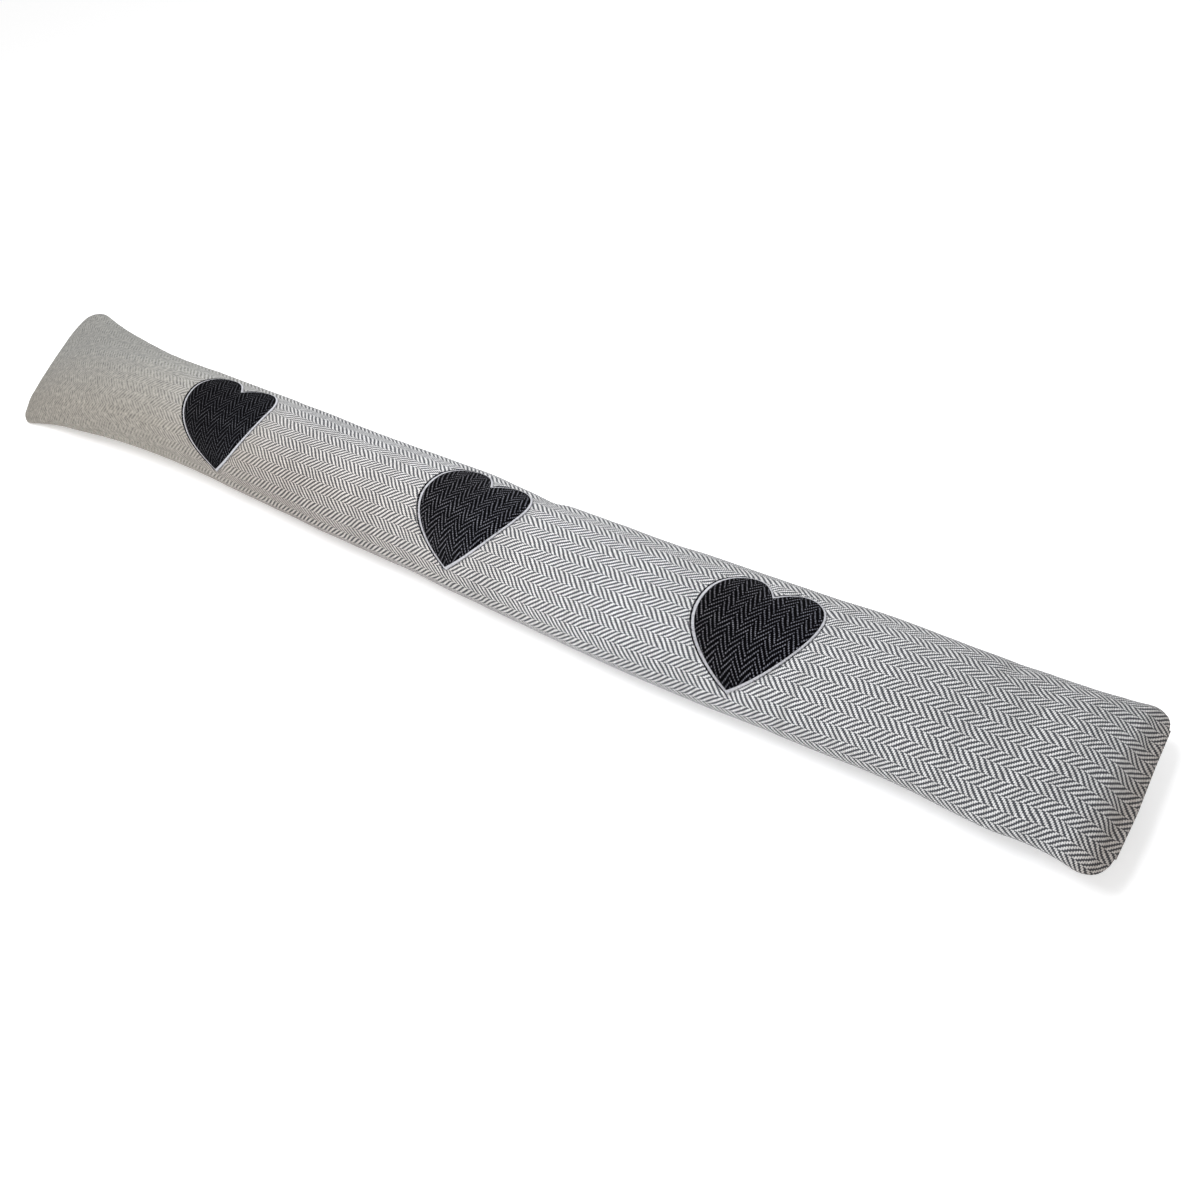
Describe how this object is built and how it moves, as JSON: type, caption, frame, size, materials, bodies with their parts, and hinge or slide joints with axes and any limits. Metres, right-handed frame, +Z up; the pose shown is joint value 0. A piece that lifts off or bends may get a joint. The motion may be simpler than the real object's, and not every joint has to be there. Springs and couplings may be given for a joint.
{
  "type": "draught excluder",
  "caption": "Long filled cloth draught excluder with flat sewn ends, round corners and stitched heart patches over its crown.",
  "frame": {"origin": "centre of the part's box at floor level", "axes": "+X along the tube from its thin raised end to its fuller end, +Z up from the floor, hearts point to -Y"},
  "size_m": [0.86, 0.1076, 0.0707],
  "materials": {
    "herringbone_cloth": "woven herringbone in off-white and mid grey, matt",
    "dark_herringbone_cloth": "woven herringbone in near black and dark grey, matt",
    "satin_stitch_thread": "close satin stitch in pale lilac-grey thread, soft sheen"
  },
  "bodies": {
    "root": {"cover": "herringbone_cloth", "heart_1": "dark_herringbone_cloth", "heart_2": "dark_herringbone_cloth", "heart_3": "dark_herringbone_cloth", "heart_edge_1": "satin_stitch_thread", "heart_edge_2": "satin_stitch_thread", "heart_edge_3": "satin_stitch_thread"}
  },
  "joints": []
}
